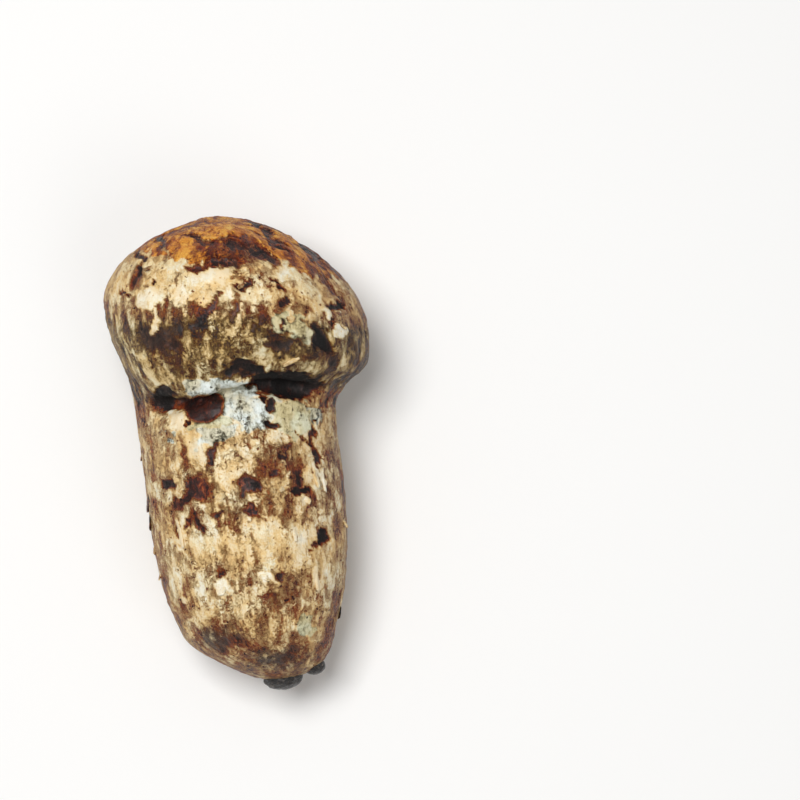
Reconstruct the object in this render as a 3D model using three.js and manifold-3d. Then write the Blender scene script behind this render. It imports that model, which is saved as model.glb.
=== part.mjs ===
// A whole matsutake mushroom, lying on its side, in millimetres with +Z up.
// The fruit body grew as one piece: a closed cap that sits a little askew, its margin rolled
// in against the neck, and a stout stem with a rounded foot. Two clods of earth cling to the foot.
//
// The body is modelled about its own growth axis, where y runs from the foot to the crown,
// x is its width and z its depth. It is then laid down so that the rim of the cap and the
// lower stem both touch the ground, which is z = 0.

import * as THREE from "three";
import { mergeVertices } from "three/addons/utils/BufferGeometryUtils.js";
import Module from "manifold-3d";

// Driving dimensions of the fruit body. Heights are along the growth axis from the foot.
const CAP_RADIUS = 29;
const CAP_RISE = 25; // from the cap's widest ring to its crown
const CAP_WIDEST = 83;
const CAP_ASKEW = 9.5; // degrees that the cap hangs lower on its +x side
const CAP_OFFSET = 2.5; // how far the cap's middle sits towards +x
const MARGIN_RADIUS = 21.2; // lowest ring of the rolled-in margin
const MARGIN_DROP = 15.5; // from the cap's widest ring down to the margin
const GROOVE_RADIUS = 20.4; // where the stem runs in under the margin
const COLLAR_RADIUS = 22.1; // ragged collar of veil just below the groove
const COLLAR_HEIGHT = 63;
const STEM_RADIUS = 22.4;
const STEM_WIDEST = 50;
const FOOT_RADIUS = 20.9; // the ring of the lower stem that touches the ground
const FOOT_HEIGHT = 26;
const TIP_HEIGHT = 1.9;
const TIP_OFFSET = 3.9; // the foot's tip sits this far towards +x
const DEPTH_SHARE = 0.96; // the body is a little flatter than it is wide
const FLAT_DEPTH = 0.5; // how far its own weight flattens it where it rests

const CLODS = [
  { name: "large_soil_clod", half: [4.5, 2.9, 4.1], centre: [3.7, 2.9, 1] },
  { name: "small_soil_clod", half: [2.6, 2, 2.5], centre: [11, 4.6, 1.4] },
];
const GAP = 0.3; // clearance between pieces that touch

const PROFILE_STEPS = 44;
const ROUND_STEPS = 40;
const POLE_FADE = 12; // the lobes die away towards the crown and the tip over this radius

// Soft swellings and hollows, each with its height and its angle round the growth axis in
// degrees, 0 on the upper side and 90 on the side towards +x. A lobe rises outwards, and
// droops towards the foot.
const LOBES = [
  { height: 80, angle: 96, reach: 14, rise: 0.9, droop: 0.3 },
  { height: 92, angle: 62, reach: 9, rise: -0.9, droop: 0 },
  { height: 76, angle: -48, reach: 11, rise: 0.9, droop: 2.2 },
  { height: 72, angle: 18, reach: 11, rise: 0.3, droop: -2.2 },
  { height: 67, angle: -92, reach: 7, rise: 1.3, droop: -1 },
  { height: 66, angle: 84, reach: 5, rise: 1.2, droop: 0 },
  { height: 84, angle: 160, reach: 13, rise: 0.8, droop: 0.8 },
  { height: 86, angle: 222, reach: 10, rise: -0.9, droop: -0.8 },
  { height: 90, angle: -88, reach: 11, rise: 0.9, droop: 0 },
  { height: 105, angle: -90, reach: 11, rise: -0.3, droop: 1 },
  { height: 40, angle: 128, reach: 13, rise: 0.6, droop: 0 },
  { height: 46, angle: 205, reach: 15, rise: -0.5, droop: 0 },
  { height: 22, angle: -60, reach: 12, rise: 0.5, droop: 0 },
];

const wasm = await Module();
wasm.setup();

function smoothstep(low, high, value) {
  const t = Math.min(1, Math.max(0, (value - low) / (high - low)));
  return t * t * (3 - 2 * t);
}

// The outline of the fruit body as radius and height, drawn from the crown down and handed
// back from the foot up.
function fruitBodyProfile() {
  const path = new THREE.Path();
  const marginHeight = CAP_WIDEST - MARGIN_DROP;
  path.moveTo(0, CAP_WIDEST + CAP_RISE);
  path.absellipse(0, CAP_WIDEST, CAP_RADIUS, CAP_RISE, Math.PI / 2, 0, true);
  path.bezierCurveTo(
    CAP_RADIUS, CAP_WIDEST - MARGIN_DROP * 0.45,
    MARGIN_RADIUS + 3.3, CAP_WIDEST - MARGIN_DROP * 0.78,
    MARGIN_RADIUS, marginHeight,
  );
  path.quadraticCurveTo(GROOVE_RADIUS, marginHeight - 0.8, GROOVE_RADIUS + 0.1, marginHeight - 1.4);
  path.splineThru([
    new THREE.Vector2(COLLAR_RADIUS, COLLAR_HEIGHT),
    new THREE.Vector2(STEM_RADIUS, STEM_WIDEST),
    new THREE.Vector2(STEM_RADIUS - 0.4, 36),
    new THREE.Vector2(FOOT_RADIUS, FOOT_HEIGHT),
    new THREE.Vector2(17.8, 15),
    new THREE.Vector2(12.4, 7),
    new THREE.Vector2(5.2, TIP_HEIGHT + 0.8),
    new THREE.Vector2(0, TIP_HEIGHT),
  ]);
  const points = path.getSpacedPoints(PROFILE_STEPS);
  points[0].x = 0;
  points[points.length - 1].x = 0;
  return points.reverse();
}

// Moves a point of the plain turned body to where the grown body has it.
function grow(point) {
  const angle = Math.atan2(point.x, point.z);
  const radius = Math.hypot(point.x, point.z);
  const core = new THREE.Vector3(0, Math.min(point.y, CAP_WIDEST), 0);
  const outward = point.clone().sub(core).normalize();
  let rise = 0;
  let droop = 0;
  for (const lobe of LOBES) {
    const turn = angle - THREE.MathUtils.degToRad(lobe.angle);
    const round = Math.atan2(Math.sin(turn), Math.cos(turn)) * Math.max(radius, 1);
    const share = Math.exp(-((Math.hypot(point.y - lobe.height, round) / lobe.reach) ** 2));
    rise += lobe.rise * share;
    droop += lobe.droop * share;
  }
  const fade = smoothstep(0, POLE_FADE, radius);
  const capShare = smoothstep(COLLAR_HEIGHT - 2, CAP_WIDEST - 6, point.y);
  point.addScaledVector(outward, rise * fade);
  point.y -= droop * fade;

  point.y -= point.x * Math.tan(THREE.MathUtils.degToRad(CAP_ASKEW)) * capShare;
  point.x += CAP_OFFSET * capShare;
  point.x += TIP_OFFSET * (1 - smoothstep(TIP_HEIGHT, 15, point.y));
  point.z *= DEPTH_SHARE;
}

// Tips the growth axis so that the cap's rim and the foot reach the ground together.
const REST_TILT = Math.atan(((CAP_RADIUS - FOOT_RADIUS) * DEPTH_SHARE) / (CAP_WIDEST - FOOT_HEIGHT));
const REST_HEIGHT =
  FOOT_RADIUS * DEPTH_SHARE * Math.cos(REST_TILT) - FOOT_HEIGHT * Math.sin(REST_TILT) - FLAT_DEPTH;
const laying = new THREE.Matrix4()
  .makeTranslation(0, 0, REST_HEIGHT)
  .multiply(new THREE.Matrix4().makeRotationX(REST_TILT));

function solidFrom(geometry) {
  geometry.deleteAttribute("normal");
  geometry.deleteAttribute("uv");
  const merged = mergeVertices(geometry, 1e-3);
  const mesh = new wasm.Mesh({
    numProp: 3,
    vertProperties: new Float32Array(merged.attributes.position.array),
    triVerts: new Uint32Array(merged.index.array),
  });
  return new wasm.Manifold(mesh);
}

function geometryFrom(solid) {
  const mesh = solid.getMesh();
  const geometry = new THREE.BufferGeometry();
  geometry.setAttribute("position", new THREE.BufferAttribute(mesh.vertProperties, 3));
  geometry.setIndex(new THREE.BufferAttribute(mesh.triVerts, 1));
  return geometry;
}

// The whole fruit body, laid down, before anything is cut from it.
function fruitBodySolid() {
  const geometry = new THREE.LatheGeometry(fruitBodyProfile(), ROUND_STEPS);
  const places = geometry.attributes.position;
  const point = new THREE.Vector3();
  for (let i = 0; i < places.count; i += 1) {
    point.fromBufferAttribute(places, i);
    grow(point);
    places.setXYZ(i, point.x, point.y, point.z);
  }
  geometry.applyMatrix4(laying);
  return solidFrom(geometry);
}

function clodSolid(clod, extra = 0) {
  const geometry = new THREE.SphereGeometry(1, 18, 12);
  geometry.scale(...clod.half.map((half) => half + extra));
  geometry.translate(...clod.centre);
  geometry.applyMatrix4(laying);
  return solidFrom(geometry);
}

// Everything below the ground, to be cut away where the soft body is pressed flat.
function groundSolid() {
  const depth = 20;
  const side = 4 * (CAP_WIDEST + CAP_RISE);
  const geometry = new THREE.BoxGeometry(side, side, depth);
  geometry.translate(0, 0, -depth / 2);
  return solidFrom(geometry);
}

function piece(name, solid, colour, roughness) {
  const material = new THREE.MeshStandardMaterial({ color: colour, roughness, metalness: 0 });
  const mesh = new THREE.Mesh(geometryFrom(solid), material);
  mesh.name = name;
  return mesh;
}

const laid = new THREE.Group();
let fruitBody = fruitBodySolid().subtract(groundSolid());
for (const clod of CLODS) {
  fruitBody = fruitBody.subtract(clodSolid(clod, GAP));
  laid.add(piece(clod.name, clodSolid(clod), 0x3a332e, 0.8));
}
laid.add(piece("mushroom", fruitBody, 0xcdb184, 0.6));

// The origin is on the ground, under the middle of the whole thing.
const extent = new THREE.Box3().setFromObject(laid);
laid.position.set(-(extent.min.x + extent.max.x) / 2, -(extent.min.y + extent.max.y) / 2, 0);

const matsutake = new THREE.Group();
matsutake.add(laid);

export default matsutake;
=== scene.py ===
import math
import random

import bpy
import numpy as np
from mathutils import Matrix, Vector


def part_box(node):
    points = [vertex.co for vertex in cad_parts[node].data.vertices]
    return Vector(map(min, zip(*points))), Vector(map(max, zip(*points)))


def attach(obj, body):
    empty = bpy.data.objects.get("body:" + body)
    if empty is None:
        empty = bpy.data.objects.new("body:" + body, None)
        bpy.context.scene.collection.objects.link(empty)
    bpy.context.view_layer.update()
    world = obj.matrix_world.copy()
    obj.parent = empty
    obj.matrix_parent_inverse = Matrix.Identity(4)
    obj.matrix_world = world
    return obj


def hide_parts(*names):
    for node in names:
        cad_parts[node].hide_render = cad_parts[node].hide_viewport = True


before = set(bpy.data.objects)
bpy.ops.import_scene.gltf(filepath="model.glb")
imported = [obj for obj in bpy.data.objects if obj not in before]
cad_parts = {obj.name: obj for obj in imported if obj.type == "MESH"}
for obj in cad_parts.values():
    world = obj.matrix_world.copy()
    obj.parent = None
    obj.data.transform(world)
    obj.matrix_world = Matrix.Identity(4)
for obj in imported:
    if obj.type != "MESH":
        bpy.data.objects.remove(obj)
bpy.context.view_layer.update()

# A whole matsutake mushroom lying on its side. It is shaped about its own growth axis, in
# millimetres: x is its width, y runs from the foot to the crown, z is its depth. Then it is
# laid down onto the ground as the frame has it.
MM = 0.001

# The outline of half the fruit body as (radius, height), from the foot's tip to the crown.
OUTLINE = [
    (0, 1.9), (3.2, 2.1), (6.4, 3.3), (9.6, 5.0), (12.6, 7.3), (15.2, 10.4), (17.3, 14.0),
    (18.9, 17.8), (20.0, 21.7), (20.9, 25.7), (21.5, 29.7), (21.9, 33.7), (22.2, 37.7),
    (22.4, 41.7), (22.5, 45.7), (22.5, 49.7), (22.4, 53.7), (22.3, 57.3), (22.2, 60.4),
    (22.1, 62.8), (21.5, 64.6), (20.0, 65.6), (18.2, 66.6), (17.6, 68.0), (18.7, 69.1),
    (20.2, 68.6), (21.5, 67.9), (22.9, 68.9), (24.7, 71.2), (26.3, 73.6), (27.6, 76.1),
    (28.5, 78.8), (29.0, 81.6), (29.0, 84.6), (28.5, 87.8), (27.5, 91.0), (25.9, 94.2),
    (23.8, 97.2), (21.2, 99.9), (18.1, 102.3), (14.7, 104.4), (11.0, 106.1), (7.0, 107.3),
    (3.4, 107.9), (0, 108.0),
]
SEGMENTS = 35  # round the growth axis, before smoothing
SMOOTHING = 3

CAP_WIDEST = 83.0
CAP_RADIUS = 29.0
COLLAR_HEIGHT = 63.0
FOOT_RADIUS, FOOT_HEIGHT = 20.9, 26.0
DEPTH_SHARE = 0.96
CAP_ASKEW = math.radians(9.5)
CAP_OFFSET = 2.5
TIP_OFFSET = 3.9
REST_TILT = math.atan((CAP_RADIUS - FOOT_RADIUS) * DEPTH_SHARE / (CAP_WIDEST - FOOT_HEIGHT))

# Soft swellings and hollows: height, angle round the axis in degrees (0 is the upper side and
# 90 the side towards +x), reach, rise outwards, droop towards the foot.
LOBES = [
    (80, 96, 14, 0.9, 0.3), (92, 62, 9, -0.9, 0), (76, -48, 11, 0.9, 2.2),
    (72, 18, 11, 0.3, -2.2), (67, -92, 7, 1.3, -1), (66, 84, 5, 1.2, 0),
    (84, 160, 13, 0.8, 0.8), (86, 222, 10, -0.9, -0.8), (90, -88, 11, 0.9, 0),
    (105, -90, 11, -0.3, 1), (40, 128, 13, 0.6, 0), (46, 205, 15, -0.5, 0),
    (22, -60, 12, 0.5, 0),
]


# ---------------------------------------------------------------- fields over a surface

def smooth(low, high, value):
    """0 below low and 1 above high, with a soft step between; low may be the larger."""
    t = np.clip((np.asarray(value, float) - low) / (high - low), 0, 1)
    return t * t * (3 - 2 * t)


def ripple(points, size, seed):
    """A smooth random field from about -1 to 1, with bumps about `size` across."""
    spot = points / size + seed * 17.31
    cell = np.floor(spot).astype(np.int64)
    part = spot - cell
    ease = part ** 3 * (part * (6 * part - 15) + 10)
    total = np.zeros(len(points))
    for corner in np.ndindex(2, 2, 2):
        c = cell + corner
        h = (c[:, 0] * 73856093 ^ c[:, 1] * 19349663 ^ c[:, 2] * 83492791 ^ seed * 2654435) & 0xFFFFFFFF
        h = ((h ^ (h >> 13)) * 1274126177) & 0xFFFFFFFF
        h ^= h >> 16
        away = part - corner
        share = np.prod(np.where(corner, ease, 1 - ease), axis=1)
        slope = [((h >> shift) & 1023) / 511.5 - 1 for shift in (0, 10, 20)]
        total += share * sum(s * a for s, a in zip(slope, away.T))
    return total * 1.6


def layered(points, size, seed, layers=4):
    """Ripples on ripples, each half the size of the one before."""
    total = np.zeros(len(points))
    for i in range(layers):
        total += ripple(points, size / 2 ** i, seed + i) * 0.58 ** i
    return total


# ---------------------------------------------------------------- modelling

def only(piece):
    """Leaves edit mode and selects this piece and nothing else."""
    if bpy.context.mode != "OBJECT":
        bpy.ops.object.mode_set(mode="OBJECT")
    bpy.ops.object.select_all(action="DESELECT")
    if piece:
        piece.select_set(True)
        bpy.context.view_layer.objects.active = piece


def finished(piece, kind, **settings):
    """Adds a modifier and applies it."""
    only(piece)
    modifier = piece.modifiers.new(kind.lower(), kind)
    for name, value in settings.items():
        setattr(modifier, name, value)
    bpy.ops.object.modifier_apply(modifier=modifier.name)


def places(piece):
    """Every vertex of a piece, in millimetres."""
    co = np.empty(len(piece.data.vertices) * 3)
    piece.data.vertices.foreach_get("co", co)
    return co.reshape(-1, 3) / MM


def put(piece, co):
    piece.data.vertices.foreach_set("co", (co * MM).ravel())
    piece.data.update()


def raised(piece, share, height):
    """Lifts the surface by height where share is 1, sinks it where height is negative."""
    group = piece.vertex_groups.new(name="lift")
    for i, weight in enumerate(np.clip(share, 0, 1).tolist()):
        group.add((i,), weight, "REPLACE")
    finished(piece, "DISPLACE", mid_level=0, strength=height * MM, vertex_group="lift")
    piece.vertex_groups.remove(piece.vertex_groups["lift"])


def stored(piece, name, values):
    """Keeps a field on the mesh for its material."""
    values = np.asarray(values, np.float32)
    kind = "FLOAT_VECTOR" if values.ndim == 2 else "FLOAT"
    attribute = piece.data.attributes.new(name, kind, "POINT")
    attribute.data.foreach_set("vector" if values.ndim == 2 else "value", values.ravel())


def turned_blank():
    """The plain fruit body: its outline drawn point by point, spun round and smoothed."""
    only(None)
    bpy.ops.mesh.primitive_plane_add(size=MM)
    body = bpy.context.object
    body.name = "matsutake_fruit_body"
    bpy.ops.object.mode_set(mode="EDIT")
    bpy.ops.mesh.select_mode(type="VERT")
    bpy.ops.mesh.select_all(action="SELECT")
    bpy.ops.mesh.merge(type="CENTER")
    bpy.ops.transform.translate(value=(OUTLINE[0][0] * MM, OUTLINE[0][1] * MM, 0))
    for (r0, h0), (r1, h1) in zip(OUTLINE, OUTLINE[1:]):
        step = ((r1 - r0) * MM, (h1 - h0) * MM, 0)
        bpy.ops.mesh.extrude_region_move(TRANSFORM_OT_translate={"value": step})
    bpy.ops.mesh.select_all(action="SELECT")
    bpy.ops.mesh.spin(steps=SEGMENTS, angle=2 * math.pi, center=(0, 0, 0), axis=(0, 1, 0))
    bpy.ops.mesh.select_all(action="SELECT")
    bpy.ops.mesh.remove_doubles(threshold=0.01 * MM)
    bpy.ops.mesh.normals_make_consistent(inside=False)
    bpy.ops.object.mode_set(mode="OBJECT")
    finished(body, "SUBSURF", levels=SMOOTHING, render_levels=SMOOTHING)
    return body


# The two lips of the groove, as (radius, height) on the outline.
COLLAR_LIP = (22.1, 61.0)
MARGIN_LIP = (26.0, 73.2)


def groove_closed(turned, run):
    """At both sides the rolled-in margin grows into the neck, so the groove there is shallow."""
    x, y, z = turned.T
    angle = np.arctan2(x, z)
    radius = np.hypot(x, z)
    first, last = (run_along(np.array([[r, h, 0.0]]))[0] for r, h in (COLLAR_LIP, MARGIN_LIP))
    t = np.clip((run - first) / (last - first), 0, 1)
    dip = 0.9 * np.sin(math.pi * t)
    bridge_radius = COLLAR_LIP[0] + (MARGIN_LIP[0] - COLLAR_LIP[0]) * t ** 1.8 - dip
    bridge_height = COLLAR_LIP[1] + (MARGIN_LIP[1] - COLLAR_LIP[1]) * t
    inside = (run > first) & (run < last)
    closed = smooth(0.62, 0.9, np.abs(np.sin(angle))) * inside
    radius = radius + (bridge_radius - radius) * closed
    height = y + (bridge_height - y) * closed
    return np.stack([radius * np.sin(angle), height, radius * np.cos(angle)], 1), closed


def grown(turned):
    """Where the grown body has each point of the plain turned one."""
    x, y, z = turned.T
    angle = np.arctan2(x, z)
    radius = np.hypot(x, z)
    core = np.stack([0 * y, np.minimum(y, CAP_WIDEST), 0 * y], 1)
    outward = turned - core
    outward /= np.maximum(np.linalg.norm(outward, axis=1), 1e-6)[:, None]
    rise = np.zeros(len(y))
    droop = np.zeros(len(y))
    for height, middle, reach, up, down in LOBES:
        turn = angle - math.radians(middle)
        round_ = np.arctan2(np.sin(turn), np.cos(turn)) * np.maximum(radius, 1)
        share = np.exp(-(np.hypot(y - height, round_) / reach) ** 2)
        rise += up * share
        droop += down * share
    fade = smooth(0, 12, radius)
    cap = smooth(COLLAR_HEIGHT - 2, CAP_WIDEST - 6, y)
    out = turned + outward * (rise * fade)[:, None]
    out[:, 1] -= droop * fade
    out[:, 1] -= out[:, 0] * math.tan(CAP_ASKEW) * cap
    out[:, 0] += CAP_OFFSET * cap
    out[:, 0] += TIP_OFFSET * (1 - smooth(1.9, 15, out[:, 1]))
    out[:, 2] *= DEPTH_SHARE
    return out


def run_along(turned):
    """How far along the outline each point is from the foot's tip, in millimetres."""
    outline = np.array(OUTLINE, float)
    steps = np.diff(outline, axis=0)
    lengths = np.hypot(*steps.T)
    starts = np.concatenate([[0], np.cumsum(lengths)[:-1]])
    point = np.stack([np.hypot(turned[:, 0], turned[:, 2]), turned[:, 1]], 1)
    best = np.full(len(point), 1e9)
    run = np.zeros(len(point))
    for start, step, length, before in zip(outline, steps, lengths, starts):
        t = np.clip((point - start) @ step / length ** 2, 0, 1)
        gap = np.linalg.norm(point - start - t[:, None] * step, axis=1)
        nearer = gap < best
        best = np.where(nearer, gap, best)
        run = np.where(nearer, before + t * length, run)
    return run


# How stained the stem is, and how lively its mottling, as (height, value).
STEM_STAIN = [
    (0, 0.42), (6, 0.4), (12, 0.38), (18, 0.36), (25, 0.3), (32, 0.22), (37, 0.26), (43, 0.3),
    (50, 0.26), (56, 0.24), (61, 0.25),
]
STEM_LIFE = [
    (0, 0.5), (8, 0.6), (16, 0.75), (25, 0.8), (32, 0.6), (38, 0.85), (45, 0.9), (52, 0.85),
    (60, 0.75),
]

# What a patch of each kind does: the stain it brings the surface to (0 is bare white flesh,
# 1 is nearly black; a shaded pit's near black is painted shade in a hollow), how lively the mottling on it
# is, then warmth, veil and soil shares, how soft its edge is, and how far it stands up in millimetres.
KINDS = {
    "white": (-0.02, 0.2, 0, 0, 0, 0.2, 0.18),
    "cream": (0.12, 0.45, 0, 0, 0, 0.3, 0.14),
    "honey": (0.3, 0.5, 0, 0, 0, 0.4, 0.12),
    "gold": (0.26, 0.4, 0.85, 0, 0, 0.3, 0.12),
    "amber": (0.42, 0.5, 1, 0, 0, 0.35, 0),
    "tan": (0.4, 0.6, 0, 0, 0, 0.4, 0.05),
    "rust": (0.59, 0.75, 0, 0, 0, 0.4, -0.05),
    "tear": (0.82, 0.5, 0, 0, 0, 0.3, -0.12),
    # Painted shade: a shaded pit is a small hollow coloured nearly black for the shade inside it.
    "pit": (0.98, 0.35, 0, 0, 0, 0.25, -0.35),
    "smear": (0.78, 0.3, 0, 0, 0.5, 0.7, -0.1),
    "dirt": (0.56, 0.8, 0, 0, 0.8, 0.9, 0),
    "veil": (0.1, 0.9, 0, 1, 0, 0.35, 0.35),
    "sage": (0.2, 0.3, 0, 0, 0, 0.3, 0.2),
    "bruise": (0.8, 0.15, 0, 0, 0.1, 0.2, 0.5),
}

# Patches on the upper side: kind, x, height, half width, half length, lean of its length from
# the growth axis towards +x in degrees.
UPPER_PATCHES = [
    # crown
    ("amber", 5, 99.4, 8, 4.4, 0),
    ("gold", 3, 104, 6, 2.2, 0),
    ("gold", -6, 100.4, 4, 2.6, 20),
    ("honey", 9, 95, 2.6, 1.4, 0),
    ("tear", -3, 102.6, 3.4, 0.5, 25),
    ("tear", 3, 102.2, 2.6, 0.4, 0),
    ("tear", 4.6, 99.8, 2.2, 1.3, 0),
    ("rust", 8.6, 98.2, 1.8, 2, 0),
    ("tear", -0.8, 96.3, 4.2, 0.9, 0),
    ("smear", 4, 95.4, 1.4, 1.8, 20),
    ("tear", 9.4, 105.6, 1.2, 2, -50),
    ("tear", 13, 101.4, 1.2, 4.4, -38),
    ("tear", 12.6, 96.4, 1.6, 4.8, -42),
    ("gold", 11, 101, 0.9, 4.2, -36),
    ("tear", 17, 102.6, 1.1, 3.4, -45),
    ("tear", 21.6, 97.4, 1.2, 5.4, -40),
    ("gold", 17.6, 100, 1.1, 4.6, -38),
    ("gold", 15, 97, 1, 2.4, -30),
    ("tear", -12, 104.2, 3, 0.8, 35),
    ("tear", -17, 101, 3, 0.7, 40),
    ("gold", -12, 100.6, 3, 1, 35),
    # pale band of the cap
    ("white", 0.4, 93.6, 3.6, 1.6, 0),
    ("smear", -17.4, 95.8, 1.5, 1.8, 0),
    ("pit", -16.6, 97.6, 0.8, 0.9, 40),
    ("pit", -13.9, 94.2, 0.4, 1, 10),
    ("tear", -15.5, 99.4, 0.5, 1, 50),
    ("tear", -21, 93.2, 2.2, 0.4, 20),
    ("white", -15, 91, 3.4, 2.2, 0),
    ("cream", -6, 91, 5, 3, 0),
    ("honey", 9, 92.6, 4.6, 3.2, 0),
    ("tear", 6.4, 91.1, 0.5, 2, 70),
    ("tear", 13.4, 90.5, 0.4, 2.6, -40),
    ("cream", 17, 91, 2, 5, -30),
    ("cream", 21, 86, 2, 4, -30),
    ("rust", 24.7, 88.8, 1, 4.6, -32),
    ("pit", 25.8, 84.4, 1.5, 1, 0),
    ("white", 23.6, 82.4, 1.2, 1.2, 0),
    # below the pale band
    ("tear", -3.6, 85.4, 3, 0.8, -25),
    ("tear", -1.4, 87.2, 2.4, 0.8, -20),
    ("tear", -5.4, 83.6, 1.4, 0.7, 10),
    ("tear", 0.4, 89, 0.6, 1.2, 30),
    ("rust", -8.2, 82.4, 1, 1.6, 30),
    ("honey", -6.6, 85, 1.2, 1.1, 0),
    ("smear", 3.9, 86.1, 0.9, 2.8, 12),
    ("tear", 15, 86.4, 1.1, 0.8, 0),
    ("pit", 21.4, 77.8, 2, 3.6, -40),
    ("white", 25.7, 78.7, 1.3, 1.7, 0),
    ("sage", 14.9, 81.8, 4, 2.4, 0),
    ("sage", 18, 78.6, 2.6, 2, 0),
    ("tear", 13.8, 80.8, 0.3, 2, 30),
    ("smear", -14, 81.5, 4.6, 2.4, 30),
    ("smear", 12.5, 77.2, 3.6, 1.2, 0),
    ("white", -15.2, 85.8, 1, 2.6, 10),
    ("cream", -20.5, 79.5, 0.6, 5.4, -28),
    ("cream", -17.6, 75.5, 0.7, 4.6, -35),
    ("cream", 14, 73, 2.4, 0.6, 0),
    # under the margin: the shaded pits here are painted shadow beneath the overhanging margin
    ("pit", 3.6, 73, 4.4, 2, 12),
    ("pit", 11.6, 68.4, 8.4, 2.7, 10),
    ("pit", -14.4, 68.4, 2.4, 3.2, 10),
    ("rust", -17.6, 68, 1.6, 2.6, 0),
    # veil collar
    ("veil", 0, 67, 5.4, 5.2, 0),
    ("veil", -5.6, 68.6, 4.4, 2.8, 0),
    ("veil", 8, 63.4, 5.4, 3.4, 0),
    ("sage", 13, 60.6, 4.4, 4.4, 0),
    ("white", -12.4, 62.8, 3.8, 2.6, 20),
    ("cream", -9.5, 58, 3.6, 3.4, 0),
    ("veil", -4.4, 59.4, 4, 3, 0),
    ("sage", -4.6, 61.6, 4.8, 1.4, 0),
    ("bruise", -5.8, 65.4, 4.6, 3.5, 0),
    # Shaded pits: holes in the veil painted nearly black, painted shade.
    ("pit", 7, 65.4, 1.1, 1.4, 0),
    ("pit", 9, 64, 1, 1.2, 0),
    ("pit", 8.6, 59.6, 1.7, 0.8, 0),
    ("tear", -10.2, 62.4, 0.7, 0.9, 30),
    # upper stem
    ("tan", -18, 58, 3.6, 8, 0),
    ("cream", -2.4, 51.4, 3, 5.6, 0),
    ("rust", -11.6, 54.8, 1.2, 3, 0),
    ("tear", -5.6, 54.4, 0.8, 2.2, 20),
    ("tear", -9.2, 48.2, 2.8, 2.4, 40),
    ("tear", -13.6, 45.6, 1.4, 4.8, 62),
    ("tear", -16.8, 49.6, 1.8, 1.2, 0),
    ("tear", 1.4, 47.4, 2.4, 2, 0),
    ("tear", 2.4, 41.4, 1.6, 1.1, 0),
    ("tear", -5.5, 41.4, 1.6, 1, 0),
    ("tear", -10, 39.6, 1.6, 0.9, 60),
    ("tear", -13.6, 39.8, 0.8, 3, 55),
    ("white", -14.4, 37.4, 0.7, 3.6, 12),
    ("tan", 8, 51, 3.4, 4, 0),
    ("rust", 12.6, 48.6, 2.4, 3.4, 0),
    ("tear", 9.6, 52.6, 1.2, 0.9, 0), ("tear", 7, 49.6, 1, 0.8, 30), ("rust", 10.8, 55, 1, 1.6, 20),
    ("tear", 12.8, 47.8, 1.2, 2.4, 0),
    ("pit", 13.5, 44.8, 2, 0.8, 0),
    ("tear", 15, 56, 0.5, 3, -45),
    ("tear", 17.2, 56, 0.5, 4.6, 12),
    ("tear", 17, 51.6, 0.5, 3, 0),
    ("white", 16.6, 47.4, 0.6, 3.2, 0),
    ("white", 18.3, 46.6, 0.5, 2.8, -8),
    # lower stem
    ("cream", 5.4, 35, 3.6, 6, 0),
    ("cream", -7.6, 35.4, 5.4, 2, 0),
    ("pit", 16.8, 33.4, 1.3, 1.7, 0),
    ("tear", 13.8, 31.6, 1.2, 0.6, 0),
    ("white", 14.4, 25, 0.6, 3.4, 0),
    ("white", -6.8, 25.2, 1.3, 1.7, 10),
    ("tear", -6, 28.2, 0.8, 1.1, 20),
    ("white", 3.2, 26.4, 1.8, 0.9, 30),
    ("tear", 6.2, 26, 1.3, 1.2, 0),
    ("white", -15.6, 23, 1.1, 0.9, 0),
    ("tan", 5.6, 21.2, 3.6, 2.2, 0),
    ("rust", 4.2, 22.4, 1.6, 0.8, 20),
    ("tear", 7.6, 20.6, 0.8, 0.6, 0),
    ("sage", 10.4, 14.6, 2.4, 2.6, 0),
    ("dirt", -9, 14, 4.8, 3, 0),
    ("smear", -7, 12.4, 2, 1.8, 0),
    ("dirt", 3.6, 7.6, 5.4, 2.8, 0),
]


# Patches on the hidden side: the kinds each stretch of height may carry, and how many.
LOWER_PATCHES = [
    (97, 105, 9, ("tear", "gold", "amber")),
    (88, 96, 9, ("cream", "white", "tear", "pit", "gold")),
    (74, 88, 12, ("smear", "cream", "tear", "white", "sage")),
    (58, 66, 7, ("veil", "sage", "white", "pit")),
    (20, 58, 30, ("tear", "rust", "cream", "white", "tan", "tear", "pit")),
    (5, 20, 7, ("dirt", "rust", "white", "tear")),
]


def lower_patches():
    """The same kinds of patch scattered over the side that rests on the ground."""
    chance = random.Random(17)
    for low, high, count, kinds in LOWER_PATCHES:
        for _ in range(count):
            big = chance.choice((0.6, 1, 1.7))
            yield (
                chance.choice(kinds), chance.uniform(-24, 24), chance.uniform(low, high),
                big * chance.uniform(0.8, 1.8), big * chance.uniform(1, 2.4), chance.uniform(-35, 35),
            )


def laid_down(grown_points):
    """The body tipped so that the cap's rim and the lower stem meet the ground together."""
    tilt = Matrix.Rotation(REST_TILT, 3, "X")
    return grown_points @ np.array(tilt).T


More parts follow.
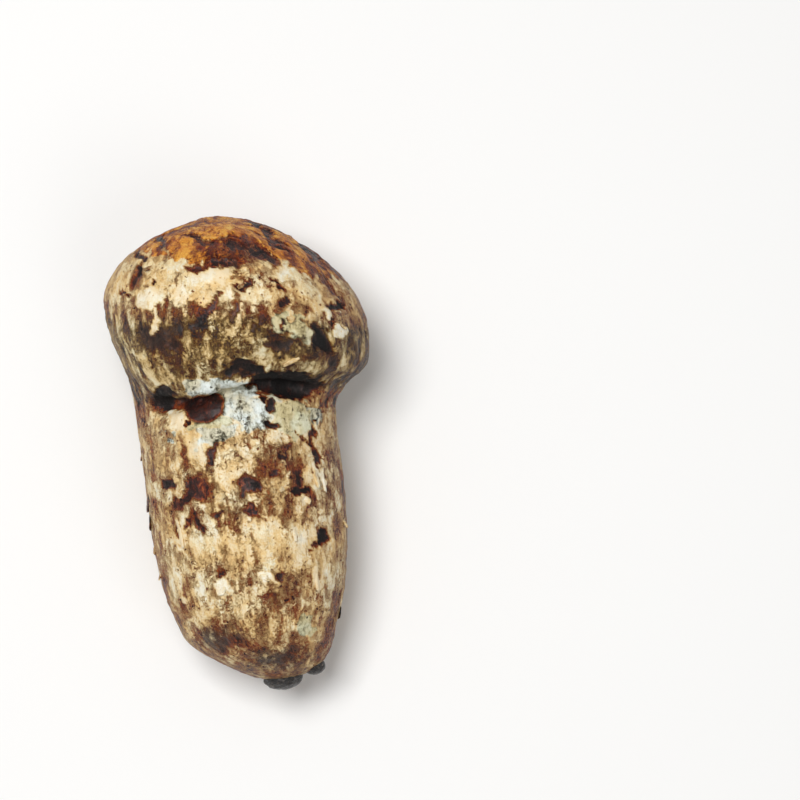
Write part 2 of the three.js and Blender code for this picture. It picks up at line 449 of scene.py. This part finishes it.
def fruit_body():
    """The fruit body with every field its material reads."""
    body = turned_blank()
    turned = places(body)
    angle = np.arctan2(turned[:, 0], turned[:, 2])
    run = run_along(turned)
    turned, closed = groove_closed(turned, run)
    shape = grown(turned)
    x, y, z = shape.T
    height = turned[:, 1]
    side = np.sin(angle)

    round_ = np.minimum(1.4 * np.hypot(turned[:, 0], turned[:, 2]), 22)
    fibre = np.stack([round_ * side, run, round_ * np.cos(angle)], 1)
    meander = ripple(turned, 13, 3) * 1.6 + ripple(turned, 5, 4) * 0.5
    strand_space = np.stack([fibre[:, 0] + meander, run * 0.28, fibre[:, 2] + meander], 1)
    drift = np.stack([ripple(turned, 7, 11), ripple(turned, 7, 12), ripple(turned, 7, 13)], 1) * 2.2
    blot_space = (np.stack([x, 0.62 * y, z], 1) + drift)
    blotches = layered(blot_space, 3.9, 21, 5)
    strands = layered(strand_space, 1.9, 31, 3)
    ragged = ripple(turned, 3.2, 41) + 0.75 * ripple(turned, 1.5, 42) + 0.6 * ripple(turned, 0.9, 43)
    ragged += 0.3 * strands

    # Zones all round, from the foot up.
    crown_line = 95.5 + 4.5 * np.clip(-side, 0, 1) + 1.8 * ragged
    crown_line += 5 * smooth(0, -12, z) * ripple(turned, 14, 45)
    pale_line = 87.3 + 1.6 * ragged
    crown = smooth(-0.8, 0.8, height - crown_line)
    pale = smooth(-1, 1, height - pale_line) * (1 - crown)
    cap = smooth(71.5, 72.5, run)
    under = cap * (1 - crown) * (1 - pale)
    stem = 1 - cap
    stain_by_height = np.interp(height, *zip(*STEM_STAIN))
    life_by_height = np.interp(height, *zip(*STEM_LIFE))
    stain = stem * stain_by_height + crown * 0.36 + pale * 0.21
    stain += under * (0.34 + 0.08 * smooth(76, 82, height))
    life = stem * life_by_height + crown * 0.7 + pale * 0.5 + under * 0.85
    warm = crown.copy()
    khaki = under * smooth(88, 80, height) * smooth(65, 70, height)
    collar = smooth(57.5, 60.5, height + 1.6 * ragged) * stem
    veil = collar * smooth(-0.5, 0.25, ripple(turned, 11, 51) + 0.2) * smooth(0.98, 0.8, np.abs(side))
    sage = np.zeros(len(x))
    soil = smooth(16, 2, height + 3 * ragged) * 0.3
    lift = np.zeros(len(x))
    radius = np.hypot(turned[:, 0], turned[:, 2])
    # Painted shadow: the groove under the overhanging margin is brought nearly black and its mottling evened
    # out.
    groove = smooth(64.5, 66.3, height) * smooth(21.6, 19.8, radius) * smooth(72, 70, height)
    stain += groove * (0.6 + 0.4 * smooth(-13, -6, x) - stain)
    life *= 1 - 0.8 * groove
    # Painted shade: the crease where the margin closes onto the neck at both flanks is darkened.
    stain += 0.14 * closed * (1 - groove)
    # Painted shade: the flanks towards the outline are darkened, as the sides look under the overhead light.
    stain += 0.16 * smooth(0.84, 1, np.abs(side)) * (1 - collar)

    upper = smooth(-3, 1.5, z)
    torn = [
        1.1 * ripple(turned, 4.2, seed) + 0.8 * ripple(turned, 1.9, seed + 1)
        + 0.4 * ripple(turned, 0.9, seed + 2)
        for seed in (91, 95)
    ]
    everywhere = [(upper, *patch) for patch in UPPER_PATCHES]
    everywhere += [(1 - upper, *patch) for patch in lower_patches()]
    for where, kind, px, py, across, along, lean in everywhere:
        target, lively, heat, web, earth, edge, stand = KINDS[kind]
        lean = math.radians(lean)
        tatter = 0.1 if kind == "bruise" else 1
        right, up = (x - px) + tatter * torn[0], (y - py) + tatter * torn[1]
        u = (right * math.cos(lean) - up * math.sin(lean)) / across
        v = (right * math.sin(lean) + up * math.cos(lean)) / along
        # A patch near the outline must not stretch away into the depth.
        middle = z[(np.hypot(x - px, y - py) + 60 * (1 - where)).argmin()]
        deep = (z - middle) / (1.5 * max(across, along) + 3)
        share = smooth(1 + edge, 1 - edge, np.hypot(np.hypot(u, v), deep) + 0.25 * tatter * ragged) * where
        mossy = kind == "sage"
        for field, value in ((stain, target), (life, lively), (warm, heat), (veil, web), (sage, mossy)):
            field += (value - field) * share
        soil += (np.maximum(soil, earth) - soil) * share
        if kind in ("white", "veil", "sage"):
            khaki *= 1 - share
        lift += stand * share

    streaks = (0.1 + 0.28 * under) * (1 - 0.8 * veil) * strands
    stain = stain + life * ((0.34 - 0.1 * under) * blotches + streaks)
    lift += -0.3 * smooth(0.45, 0.75, stain) + 0.1 * strands
    lift += veil * 0.35 * ripple(turned, 2.2, 61)
    lumps = layered(turned, 18, 71, 2)
    lift += 0.35 * lumps * smooth(60, 75, height)
    lift += 0.2 * ripple(blot_space, 3.4, 62) + 0.12 * ripple(blot_space, 1.8, 63)

    laid = laid_down(shape)
    low, high = (np.array(corner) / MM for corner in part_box("mushroom"))
    shift = (low + high - laid.min(0) - laid.max(0)) / 2
    shift[2] = high[2] - laid[:, 2].max()
    put(body, laid + shift)
    raised(body, lift / 1.5, 1.5)
    raised(body, -lift / 1.5, -1.5)

    # This field holds real stains together with the painted shade of the flanks, groove, neck crease and
    # shaded pits.
    stored(body, "stain", stain)
    stored(body, "warm", warm)
    stored(body, "life", life)
    stored(body, "khaki", khaki)
    stored(body, "sage", sage)
    stored(body, "veil", veil)
    stored(body, "soil", soil)
    stored(body, "fibre", fibre)

    only(body)
    bpy.ops.object.mode_set(mode="EDIT")
    bpy.ops.mesh.select_all(action="DESELECT")
    bpy.ops.object.mode_set(mode="OBJECT")
    below = places(body)[:, 2] < 0
    body.data.vertices.foreach_set("select", below)
    bpy.ops.object.mode_set(mode="EDIT")
    bpy.ops.transform.resize(value=(1, 1, 0), center_override=(0, 0, 0))
    bpy.ops.object.mode_set(mode="OBJECT")
    bpy.ops.object.shade_smooth()
    return body, shift, shape, fibre


# Scraps of skin that have come loose: x, height, width, length, turn from the growth axis in
# degrees, how far the free end stands off, and the stain on it (0 is bare white flesh).
FLAKES = [
    (-14.4, 38, 1.5, 6.6, -12, 0.7, 0), (16.5, 47.6, 1.3, 6, 0, 0.8, 0.02), (18.2, 46, 1, 5.4, 8, 0.9, 0.04),
    (14.4, 25, 1.2, 6.6, -4, 0.6, 0), (-6.8, 25.4, 2.2, 2.9, 10, 0.5, 0),
    (3.2, 26.6, 2.8, 1.5, 30, 0.5, 0.05),
    (-22, 46, 4.6, 5, 10, 0.45, 0.62), (-22, 41, 3.4, 3.4, -20, 0.35, 0.5),
    (-21.6, 35, 2.4, 2.6, 10, 0.5, 0.25),
    (-20.9, 29, 2, 2.4, 0, 0.7, 0.3), (-22.6, 56.5, 2, 2.6, 0, 0.5, 0.4), (21.6, 36, 1.2, 2.8, 0, 0.9, 0.2),
    (18.4, 15.8, 3.4, 3, 30, 0.35, 0.75), (14, 42.5, 1.4, 2.6, -30, 0.8, 0.05),
    (9.2, 45.6, 1.3, 2, 60, 0.7, 0.1),
    (6.2, 91.4, 1.3, 3, 70, 0.6, 0.3), (15.8, 83, 1.8, 3, 20, 0.6, 0.15),
    (12.6, 84.6, 1.2, 2, -60, 0.6, 0.4), (-14.6, 97.6, 1.3, 2.4, 40, 0.7, 0.4),
    (26.4, 80, 1.3, 2.2, 0, 0.7, 0.3),
    (14.6, 73.2, 1.2, 4, 75, 0.7, 0.12), (-10.2, 62.2, 1.3, 1.6, 30, 0.6, 0.6),
    (10.6, 35.4, 1.2, 3, 10, 0.6, 0.05),
]


def skin_flakes(body, shape, fibre):
    """Loose scraps, each a thin curled sheet that roots in the skin at one end."""
    spots = places(body)
    normals = np.empty(len(spots) * 3)
    body.data.vertices.foreach_get("normal", normals)
    normals = normals.reshape(-1, 3)
    flakes = []
    for number, (px, py, wide, long_, turn, stand, tone) in enumerate(FLAKES):
        reach = np.hypot(shape[:, 0] - px, shape[:, 1] - py) + 40 * (shape[:, 2] < -1)
        root = int(reach.argmin())
        only(None)
        bpy.ops.mesh.primitive_grid_add(x_subdivisions=8, y_subdivisions=12, size=2 * MM)
        flake = bpy.context.object
        flake.name = "torn_skin_flake_%02d" % (number + 1)
        flat = places(flake)
        rough = ripple(flat + number * 7, 0.9, 130) + 0.6 * ripple(flat + number * 7, 0.4, 131)
        across = flat[:, 0] * (0.5 + 0.16 * rough) * wide * (1 - 0.45 * flat[:, 1] ** 2)
        down = flat[:, 1] * (0.5 + 0.08 * rough) * long_
        off = stand * smooth(-0.9, 1, -flat[:, 1]) ** 1.6 - 0.12
        off = off + 0.12 * rough * (flat[:, 1] < 0.6) - 0.3 * flat[:, 0] ** 2 * stand
        normal = normals[root]
        up = np.array([0, math.cos(REST_TILT), math.sin(REST_TILT)])
        up -= normal * (up @ normal)
        up /= np.linalg.norm(up)
        right = np.cross(up, normal)
        lean = math.radians(turn)
        ahead = up * math.cos(lean) + right * math.sin(lean)
        aside = right * math.cos(lean) - up * math.sin(lean)
        # Follow the round of the body so that a wide scrap does not cut through it.
        sag = (across ** 2) / 44
        spread = np.outer(across, aside) + np.outer(down, ahead)
        put(flake, spots[root] + spread + np.outer(off - sag, normal))
        # Painted shade: each scrap is darker towards its side edges, where it curls down to the skin.
        stored(flake, "stain", tone + 0.1 * rough + 0.25 * smooth(0.75, 1, np.abs(flat[:, 0])))
        stored(flake, "life", 0 * rough + 0.5)
        stored(flake, "fibre", fibre[root] + np.stack([across, down, 0 * down], 1))
        finished(flake, "SOLIDIFY", thickness=0.22 * MM, offset=0)
        bpy.ops.object.shade_smooth()
        flakes.append(flake)
    only(flakes[0])
    for flake in flakes:
        flake.select_set(True)
    bpy.ops.object.join()
    flakes[0].name = "torn_skin_flakes"
    return flakes[0]


# ---------------------------------------------------------------- materials

def linear(code):
    """A sRGB hex colour as linear RGBA."""
    parts = [int(code[i:i + 2], 16) / 255 for i in (1, 3, 5)]
    return [c / 12.92 if c <= 0.04045 else ((c + 0.055) / 1.055) ** 2.4 for c in parts] + [1]


def add(tree, kind, settings=None, links=None):
    """Adds a node with its settings, and links its inputs to other nodes' outputs."""
    node = tree.nodes.new("ShaderNode" + kind)
    for key, value in (settings or {}).items():
        if key == "stops":
            stops = node.color_ramp.elements
            while len(stops) < len(value):
                stops.new(0.5)
            for stop, (where, colour) in zip(stops, value):
                stop.position = where
                stop.color = linear(colour) if isinstance(colour, str) else [colour] * 3 + [1]
        elif isinstance(key, int) or key in node.inputs:
            node.inputs[key].default_value = value
        else:
            setattr(node, key, value)
    for key, source in (links or {}).items():
        output = source[0].outputs[source[1]] if isinstance(source, tuple) else source.outputs[0]
        tree.links.new(output, node.inputs[key])
    return node


def new_material(name):
    material = bpy.data.materials.new(name)
    material.use_nodes = True
    tree = material.node_tree
    tree.nodes.clear()
    return material, tree


def matsutake_skin():
    """Fresh matsutake: cream fibrous flesh under torn, stained skin that dries satin."""
    material, tree = new_material("fresh_matsutake_flesh_torn_fibrous_skin")
    field = {
        name: add(tree, "Attribute", {"attribute_name": name})
        for name in ("stain", "life", "warm", "khaki", "sage", "veil", "soil", "fibre")
    }
    object_space = add(tree, "TexCoord")
    place = add(tree, "Mapping", {"Scale": (1 / MM,) * 3}, {"Vector": (object_space, "Object")})
    along = add(tree, "Mapping", {"Scale": (1, 0.22, 1)}, {"Vector": (field["fibre"], "Vector")})

    strands = add(tree, "TexNoise", {"Scale": 1.3, "Detail": 4, "Roughness": 0.62, "Distortion": 0.5},
        {"Vector": along})
    grain = add(tree, "TexNoise", {"Scale": 0.9, "Detail": 6, "Roughness": 0.7, "Distortion": 0.6},
        {"Vector": place})
    thin = add(tree, "Math", {"operation": "MULTIPLY_ADD", 1: 0.66, 2: -0.33}, {0: strands})
    fine = add(tree, "Math", {"operation": "MULTIPLY_ADD", 1: 0.9, 2: -0.45}, {0: grain})
    fine = add(tree, "Math", {"operation": "ADD"}, {0: fine, 1: thin})
    wander = add(tree, "TexNoise", {"Scale": 0.32, "Detail": 5, "Roughness": 0.6, "Distortion": 1.2},
        {"Vector": place})
    near_half = add(tree, "Math", {"operation": "SUBTRACT", 1: 0.5}, {0: wander})
    near_half = add(tree, "Math", {"operation": "ABSOLUTE"}, {0: near_half})
    crack = add(tree, "MapRange", {"interpolation_type": "SMOOTHSTEP", 1: 0.011, 2: 0.002, 3: 0, 4: 0.3},
        {"Value": near_half})
    some = add(tree, "TexNoise", {"Scale": 0.13, "Detail": 2}, {"Vector": place})
    some = add(tree, "MapRange", {"interpolation_type": "SMOOTHSTEP", 1: 0.5, 2: 0.6}, {"Value": some})
    crack = add(tree, "Math", {"operation": "MULTIPLY"}, {0: crack, 1: some})
    push = add(tree, "VectorMath", {"operation": "SUBTRACT", 1: (0.5,) * 3}, {0: (grain, "Color")})
    push = add(tree, "VectorMath", {"operation": "SCALE", "Scale": 5.5}, {0: push})
    shards = add(tree, "Mapping", {"Scale": (1, 0.45, 1)}, {"Vector": (field["fibre"], "Vector")})
    shards = add(tree, "VectorMath", {"operation": "ADD"}, {0: shards, 1: push})
    chips = add(tree, "TexVoronoi", {"Scale": 0.62}, {"Vector": shards})
    tones = add(tree, "SeparateColor", {}, {"Color": (chips, "Color")})
    chip = add(tree, "Math", {"operation": "MULTIPLY_ADD", 1: 0.28, 2: -0.14}, {0: tones})
    rims = add(tree, "TexVoronoi", {"feature": "DISTANCE_TO_EDGE", "Scale": 0.62}, {"Vector": shards})
    rim = add(tree, "MapRange", {"interpolation_type": "SMOOTHSTEP", 1: 0.06, 2: 0.0, 3: 0, 4: 0.13},
        {"Value": rims})
    stray = add(tree, "VectorMath", {"operation": "MULTIPLY_ADD", 1: (0.35,) * 3}, {0: push, 2: place})
    dots = add(tree, "TexVoronoi", {"Scale": 0.8}, {"Vector": stray})
    dot_tones = add(tree, "SeparateColor", {}, {"Color": (dots, "Color")})
    few = add(tree, "Math", {"operation": "GREATER_THAN", 1: 0.74}, {0: dot_tones})
    dot = add(tree, "MapRange", {"interpolation_type": "SMOOTHSTEP", 1: 0.26, 2: 0.12, 3: 0, 4: 0.42},
        {"Value": (dots, "Distance")})
    dot = add(tree, "Math", {"operation": "MULTIPLY"}, {0: dot, 1: few})
    fine = add(tree, "Math", {"operation": "ADD"}, {0: fine, 1: chip})
    curls = add(tree, "TexNoise", {"Scale": 0.62, "Detail": 5, "Roughness": 0.66, "Distortion": 2.2},
        {"Vector": shards})
    curl = add(tree, "MapRange", {"interpolation_type": "SMOOTHSTEP", 1: 0.5, 2: 0.54, 3: -0.08, 4: 0.15},
        {"Value": curls})
    lively = add(tree, "Math", {"operation": "MULTIPLY_ADD", 1: 0.8, 2: 0.25}, {0: (field["life"], "Fac")})
    fine = add(tree, "Math", {"operation": "MULTIPLY"}, {0: fine, 1: lively})
    # The stain attribute holds real stains and painted shade; its near-black end gives the painted shadow in
    # the groove and pits.
    stain = add(tree, "Math", {"operation": "ADD"}, {0: (field["stain"], "Fac"), 1: fine})
    curl = add(tree, "Math", {"operation": "MULTIPLY"}, {0: curl, 1: lively})
    for mark in (crack, rim, dot, curl):
        stain = add(tree, "Math", {"operation": "ADD"}, {0: stain, 1: mark})

    flesh = add(tree, "ValToRGB", {"stops": [
        (0, "#F3ECD8"), (0.15, "#EDDAAA"), (0.3, "#E6C68E"), (0.45, "#D9AE72"),
        (0.55, "#C68B50"), (0.61, "#A35D30"), (0.66, "#72371F"), (0.74, "#43221C"),
        (0.85, "#251614"), (1, "#110D0C"),
    ]}, {"Fac": stain})
    crown = add(tree, "ValToRGB", {"stops": [
        (0.08, "#EDC05C"), (0.25, "#DD932E"), (0.4, "#C4661D"), (0.53, "#954016"),
        (0.62, "#56260F"), (0.72, "#31170F"), (0.85, "#200F0B"), (1, "#110D0C"),
    ]}, {"Fac": stain})
    olive = add(tree, "ValToRGB", {"stops": [
        (0, "#EAE1C2"), (0.2, "#D6C290"), (0.38, "#BA995A"), (0.5, "#91703A"),
        (0.6, "#60432A"), (0.72, "#35241B"), (0.86, "#1E1411"), (1, "#0D0C0B"),
    ]}, {"Fac": stain})
    web = add(tree, "ValToRGB", {"stops": [
        (0.05, "#EBF2EE"), (0.25, "#DCE2D6"), (0.4, "#BFC3AE"), (0.5, "#7D7A62"),
        (0.57, "#2B2A22"), (0.66, "#100F0D"),
    ]}, {"Fac": stain})
    lichen = add(tree, "ValToRGB", {"stops": [
        (0.05, "#E4E2C8"), (0.3, "#D3CFA8"), (0.44, "#A9A178"), (0.55, "#635A3C"), (0.66, "#1B1813"),
    ]}, {"Fac": stain})
    earth = add(tree, "ValToRGB", {"stops": [
        (0.2, "#B9A684"), (0.45, "#84705A"), (0.65, "#554539"), (0.9, "#26201C"),
    ]}, {"Fac": stain})

    # The fine detail makes the border of each zone ragged, and does nothing away from a zone.
    ragged = add(tree, "Math", {"operation": "MULTIPLY_ADD", 1: 1.4, 2: 1}, {0: fine})
    colour = flesh
    for name, paint, width in (
        ("khaki", olive, 0.3), ("warm", crown, 0.15), ("soil", earth, 0.35), ("sage", lichen, 0.15),
        ("veil", web, 0.12),
    ):
        shifted = add(tree, "Math", {"operation": "MULTIPLY"}, {0: (field[name], "Fac"), 1: ragged})
        share = add(tree, "MapRange", {"interpolation_type": "SMOOTHSTEP", 1: 0.5 - width, 2: 0.5 + width},
            {"Value": shifted})
        below = (colour, 2) if colour.bl_idname == "ShaderNodeMix" else colour
        colour = add(tree, "Mix", {"data_type": "RGBA"}, {0: share, 6: below, 7: paint})

    # Broad drifts of tint: the pale flesh goes buttery in places, the brown goes russet.
    brown = add(tree, "MapRange", {"interpolation_type": "SMOOTHSTEP", 1: 0.34, 2: 0.5}, {"Value": stain})
    light = add(tree, "Math", {"operation": "SUBTRACT", 0: 1}, {1: brown})
    for wide, detail, start, least, most, tint, part in (
        (0.16, 3, 0.4, 0, 0.6, "#F4DAAC", light),
        (0.2, 4, 0.42, 0.3, 0.9, "#F0AE86", brown),
    ):
        drift = add(tree, "TexNoise", {"Scale": wide, "Detail": detail}, {"Vector": stray})
        drift = add(tree, "MapRange", {
            "interpolation_type": "SMOOTHSTEP", 1: start, 2: start + 0.16, 3: least, 4: most,
        }, {"Value": drift})
        drift = add(tree, "Math", {"operation": "MULTIPLY"}, {0: drift, 1: part})
        colour = add(tree, "Mix", {
            "data_type": "RGBA", "blend_type": "MULTIPLY", 7: linear(tint),
        }, {0: drift, 6: (colour, 2)})
    rough = add(tree, "MapRange", {1: 0.1, 2: 0.9, 3: 0.56, 4: 0.36}, {"Value": stain})
    dull = add(tree, "MapRange", {1: 0.84, 2: 1.0, 4: 0.45}, {"Value": stain})
    rough = add(tree, "Math", {"operation": "ADD"}, {0: rough, 1: dull})
    layer = add(tree, "MapRange", {"interpolation_type": "SMOOTHSTEP", 1: 0.62, 2: 0.34, 4: 1},
        {"Value": stain})
    relief = add(tree, "Math", {"operation": "MULTIPLY_ADD", 1: 0.7}, {0: fine, 2: layer})
    bump = add(tree, "Bump", {"Strength": 1.0, "Distance": 0.5 * MM}, {"Height": relief})
    shader = add(tree, "BsdfPrincipled", {"IOR": 1.42}, {
        "Base Color": (colour, 2), "Roughness": rough, "Normal": bump,
    })
    add(tree, "OutputMaterial", {}, {"Surface": shader})
    return material


def forest_soil():
    """Damp forest humus: dark crumbs with a wet shine."""
    material, tree = new_material("damp_forest_humus_crumbs")
    object_space = add(tree, "TexCoord")
    place = add(tree, "Mapping", {"Scale": (1 / MM,) * 3}, {"Vector": (object_space, "Object")})
    grain = add(tree, "TexNoise", {"Scale": 1.4, "Detail": 6, "Roughness": 0.7}, {"Vector": place})
    colour = add(tree, "ValToRGB", {"stops": [
        (0.36, "#0C0A09"), (0.5, "#1C1815"), (0.6, "#3A322C"), (0.7, "#7A6F66"),
    ]}, {"Fac": grain})
    bump = add(tree, "Bump", {"Strength": 0.9, "Distance": 0.4 * MM}, {"Height": grain})
    shader = add(tree, "BsdfPrincipled", {"Roughness": 0.26}, {"Base Color": colour, "Normal": bump})
    add(tree, "OutputMaterial", {}, {"Surface": shader})
    return material


def soil_clod(node, seed):
    """A clod of earth stuck to the foot, in place of its CAD node."""
    low, high = (np.array(corner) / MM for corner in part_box(node))
    only(None)
    bpy.ops.mesh.primitive_ico_sphere_add(subdivisions=6, radius=MM)
    clod = bpy.context.object
    clod.name = node + "_crumbs"
    round_ = places(clod)
    half = (high - low) / 2
    lumps = ripple(round_ * half, 2.4, seed) * 0.16 + ripple(round_ * half, 1.0, seed + 1) * 0.1
    lumps += ripple(round_ * half, 0.45, seed + 2) * 0.09
    co = round_ * (0.98 + 0.3 * lumps)[:, None] * half + (low + high) / 2
    put(clod, co)
    bpy.ops.object.shade_smooth()
    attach(clod, "root")
    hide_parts(node)
    return clod


body, place_of_axis, body_shape, body_fibre = fruit_body()
skin = matsutake_skin()
body.data.materials.append(skin)
flakes = skin_flakes(body, body_shape, body_fibre)
flakes.data.materials.append(skin)
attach(flakes, "root")
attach(body, "root")
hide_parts("mushroom")

humus = forest_soil()
for seed, node in enumerate(("large_soil_clod", "small_soil_clod")):
    soil_clod(node, 80 + 5 * seed).data.materials.append(humus)


# ---------------------------------------------------------------- the studio

def studio():
    """Matt white paper under two soft lights."""
    only(None)
    bpy.ops.mesh.primitive_plane_add(size=3)
    floor = bpy.context.object
    floor.name = "studio_floor"
    material, tree = new_material("matt_white_studio_paper")
    shader = add(tree, "BsdfPrincipled", {"Base Color": linear("#F4F3F1"), "Roughness": 0.9})
    add(tree, "OutputMaterial", {}, {"Surface": shader})
    floor.data.materials.append(material)

    world = bpy.data.worlds.new("studio_air")
    bpy.context.scene.world = world
    world.use_nodes = True
    world.node_tree.nodes["Background"].inputs["Color"].default_value = linear("#EEF0F2")
    world.node_tree.nodes["Background"].inputs["Strength"].default_value = 0.3

    for name, where, size, power in (
        ("soft_overhead", (-0.16, 0.12, 0.95), 0.4, 7.4),
        ("front_fill", (0.3, -0.5, 0.8), 0.5, 1.4),
    ):
        light = bpy.data.lights.new(name, "AREA")
        light.size = size
        light.energy = power
        lamp = bpy.data.objects.new(name, light)
        lamp.location = where
        lamp.rotation_euler = (-Vector(where)).to_track_quat("-Z", "Y").to_euler()
        bpy.context.scene.collection.objects.link(lamp)


FRAME_WIDTH = 181.6  # of what the camera takes in, in millimetres
LENS = 150
CAMERA_ROLL = math.radians(6.7)
AIM = (37.3, 62.0)  # x and height along the growth axis that the camera looks at


def camera(shift):
    """Looks straight down on the length of the mushroom, with the foot towards the viewer."""
    tilt = Matrix.Rotation(REST_TILT, 3, "X")
    right, axis, back = (Vector(tilt @ Vector(v)) for v in ((1, 0, 0), (0, 1, 0), (0, 0, 1)))
    up = axis * math.cos(CAMERA_ROLL) + right * math.sin(CAMERA_ROLL)
    across = right * math.cos(CAMERA_ROLL) - axis * math.sin(CAMERA_ROLL)
    data = bpy.data.cameras.new("camera")
    data.lens = LENS
    data.sensor_width = 36
    data.clip_end = 20
    distance = FRAME_WIDTH * LENS / 36
    aim = Vector(tilt @ Vector((AIM[0], AIM[1], 0))) + Vector(shift)
    where = (aim + back * distance) * MM
    turn = Matrix((across, up, back)).transposed().to_4x4()
    taker = bpy.data.objects.new("camera", data)
    taker.matrix_world = Matrix.Translation(where) @ turn
    bpy.context.scene.collection.objects.link(taker)
    bpy.context.scene.camera = taker


studio()
camera(place_of_axis)
bpy.context.scene.view_settings.view_transform = "Standard"
